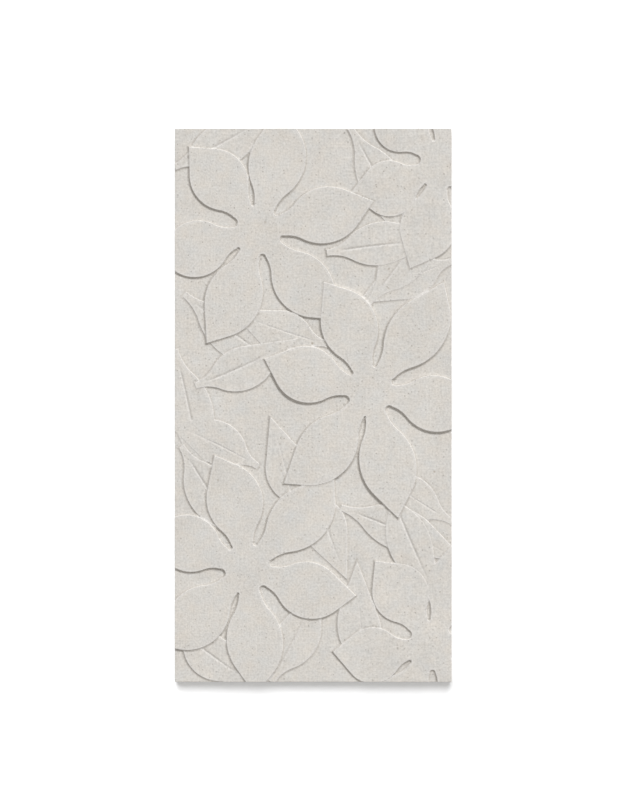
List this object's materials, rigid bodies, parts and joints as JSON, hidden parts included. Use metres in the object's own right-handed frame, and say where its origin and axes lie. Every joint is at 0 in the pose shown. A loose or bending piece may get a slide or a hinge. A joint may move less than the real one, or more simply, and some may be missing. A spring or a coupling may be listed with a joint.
{
  "type": "relief wall tile",
  "caption": "Flat rectangular limestone wall tile, twice as long as wide, with overlapping blooms and leaves carved in low relief into its face and a plain sawn back.",
  "frame": {"origin": "centre of the back face, which lies on the floor", "axes": "+Z out of the carved face, +Y along the length towards the top of the pattern, +X across the width"},
  "size_m": [0.3, 0.6, 0.02],
  "materials": {
    "limestone": "honed pale warm-grey limestone with fine dark and light specks"
  },
  "bodies": {
    "root": {"tile": "limestone"}
  },
  "joints": []
}
